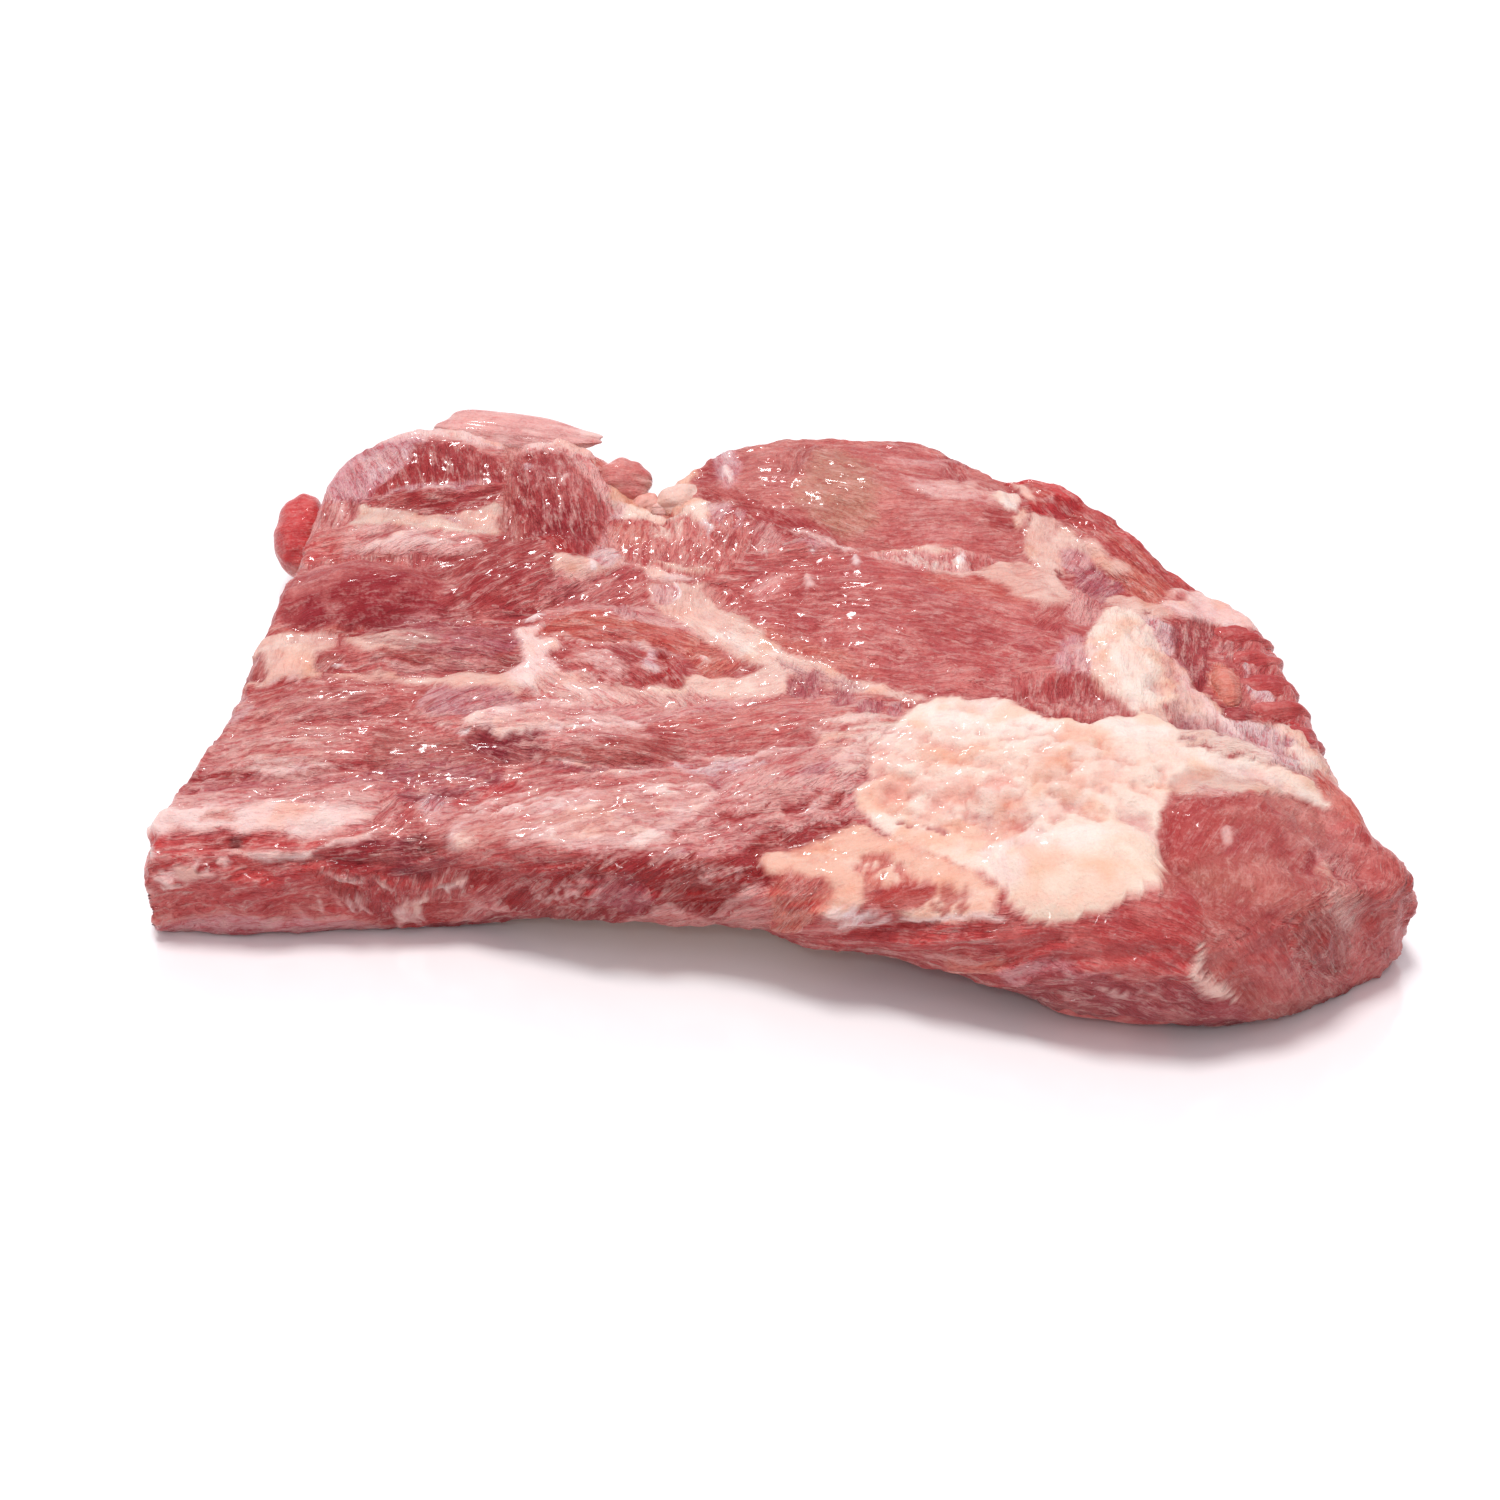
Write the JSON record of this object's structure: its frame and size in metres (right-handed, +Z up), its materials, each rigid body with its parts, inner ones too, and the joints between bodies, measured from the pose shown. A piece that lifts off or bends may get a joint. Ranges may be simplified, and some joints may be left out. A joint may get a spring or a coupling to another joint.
{
  "type": "raw pork shoulder",
  "caption": "Raw boneless pork shoulder, opened out into one flat slab of red muscle, pale seams and cream fat, for a tray or board.",
  "frame": {"origin": "under the middle of the slab's outline, on the plane it rests on", "axes": "+X along the slab towards its thick fatty end, +Y towards the side with the notch, +Z up"},
  "size_m": [0.3693, 0.2713, 0.05],
  "materials": {
    "raw_meat": "wet raw meat, satin to glossy, with pale fat"
  },
  "bodies": {
    "root": {"pork_shoulder": "raw_meat"}
  },
  "joints": []
}
